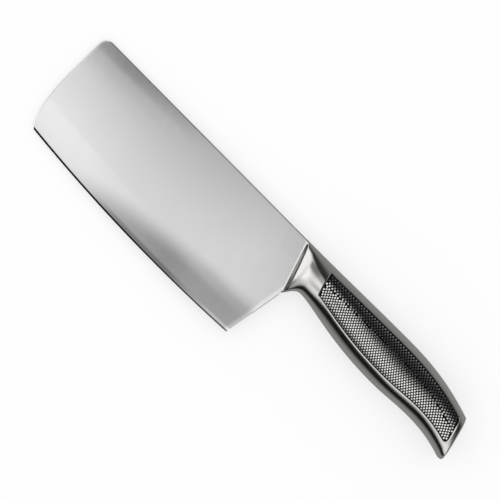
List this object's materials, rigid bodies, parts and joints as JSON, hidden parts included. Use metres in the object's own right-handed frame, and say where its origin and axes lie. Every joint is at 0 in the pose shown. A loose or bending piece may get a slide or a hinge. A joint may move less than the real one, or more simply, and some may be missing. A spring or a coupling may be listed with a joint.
{
  "type": "chinese cleaver",
  "caption": "Wide rectangular kitchen cleaver: ground steel blade, flared steel bolster and curved hollow steel handle with black dotted grip panels.",
  "frame": {"origin": "middle of the underside of the bounding box, with the knife lying on its side", "axes": "+X from the blade's front edge to the butt of the handle, +Y from the cutting edge to the spine, +Z square to the flat of the blade"},
  "size_m": [0.311, 0.0738, 0.0194],
  "materials": {
    "blade_steel": "fine satin, brushed from spine to edge, with a darker ground band",
    "handle_steel": "satin polish",
    "grip": "satin black with raised steel-coloured dots in the visual model"
  },
  "bodies": {
    "root": {"blade": "blade_steel", "bolster": "handle_steel", "handle_shell_left": "handle_steel", "handle_shell_right": "handle_steel", "grip_panel_left": "grip", "grip_panel_right": "grip", "butt_cap": "handle_steel"}
  },
  "joints": []
}
